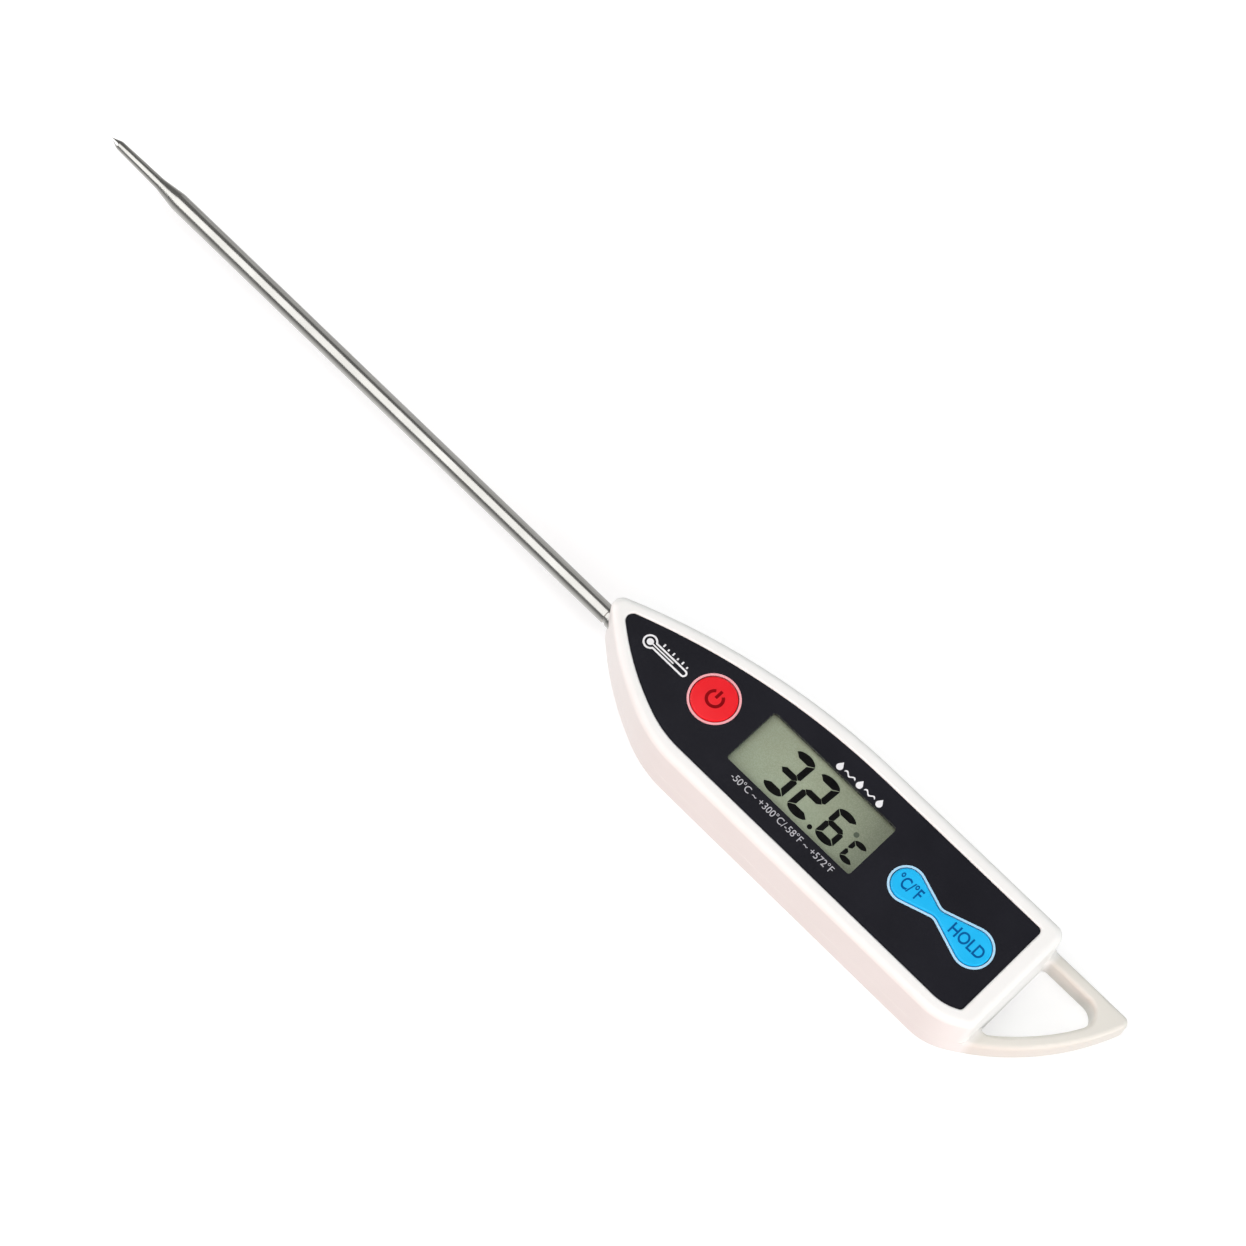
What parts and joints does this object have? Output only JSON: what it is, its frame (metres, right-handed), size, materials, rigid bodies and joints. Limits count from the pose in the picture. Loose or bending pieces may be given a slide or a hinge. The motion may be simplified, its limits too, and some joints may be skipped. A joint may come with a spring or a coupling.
{
  "type": "meat thermometer",
  "caption": "Handheld digital probe thermometer: steel needle probe, white case with black face, display, round and bow-tie keys, battery cap and hanging loop.",
  "frame": {"origin": "centre of the bounding box, on the plane of the case's flat back", "axes": "-X from the case towards the probe's tip, +X towards the hanging loop, +Z out of the face with the display"},
  "size_m": [0.24, 0.027, 0.0153],
  "materials": {
    "white_shell": "smooth moulded, slight sheen",
    "black_facing": "glossy back-printed facing",
    "clear_window": "clear, polished",
    "lcd_glass": "grey-green display behind glass",
    "reflector": "satin foil",
    "white_inner": "moulded",
    "white_silicone": "matt silicone",
    "red_key": "satin moulded",
    "blue_key": "satin moulded",
    "probe_steel": "drawn and polished",
    "screw_steel": "zinc plated",
    "contact_steel": "nickel plated",
    "cell_steel": "polished can",
    "collar_brass": "turned",
    "contact_gold": "gold plated",
    "carbon_pill": "matt",
    "black_rubber": "matt",
    "board_green": "solder mask",
    "black_epoxy": "satin",
    "ceramic_parts": "matt",
    "adhesive": "matt film",
    "bead_glass": "smooth bead",
    "lead_red": "smooth sleeve",
    "lead_black": "smooth sleeve",
    "potting_resin": "cured resin"
  },
  "bodies": {
    "case": {"front_shell": "white_shell", "back_shell": "white_shell", "shell_gasket": "black_rubber", "case_screws": "screw_steel", "face_panel": "black_facing", "panel_adhesive": "adhesive", "display_window": "clear_window", "lcd_cell": "lcd_glass", "lcd_reflector": "reflector", "lcd_frame": "white_inner", "zebra_strip": "black_rubber", "power_key_membrane": "white_silicone", "mode_key_membrane": "white_silicone", "circuit_board": "board_green", "board_key_pads": "contact_gold", "board_screws": "screw_steel", "chip_blob": "black_epoxy", "board_components": "ceramic_parts", "button_cell": "cell_steel", "battery_contact_negative": "contact_steel", "battery_contact_positive": "contact_steel", "probe_tube": "probe_steel", "probe_collar": "collar_brass", "probe_nose_seal": "black_rubber", "thermistor_bead": "bead_glass", "sensor_lead_near": "lead_red", "sensor_lead_far": "lead_black", "tip_potting": "potting_resin"},
    "power_key": {"power_key": "red_key", "power_contact_pill": "carbon_pill"},
    "mode_key": {"mode_key": "blue_key", "unit_contact_pill": "carbon_pill", "hold_contact_pill": "carbon_pill"},
    "battery_cap": {"battery_cap": "white_shell", "battery_cap_seal": "black_rubber"}
  },
  "joints": [
    {"name": "power_key_press", "type": "slide", "parent": "case", "child": "power_key", "axis": [0, 0, -1], "range_m": [0, 0.0003], "stiffness_N_per_m": 2000, "deforming": ["power_key_membrane"]},
    {"name": "mode_key_rock", "type": "hinge", "parent": "case", "child": "mode_key", "pos_m": [0.08545, 0, 0.012], "axis": [0, 1, 0], "range_deg": [-2, 2], "stiffness_Nm_per_rad": 0.1, "deforming": ["mode_key_membrane"]},
    {"name": "battery_cap_turn", "type": "hinge", "parent": "case", "child": "battery_cap", "pos_m": [0.086, 0, 0.001], "axis": [0, 0, 1], "range_deg": [0, 60]}
  ]
}
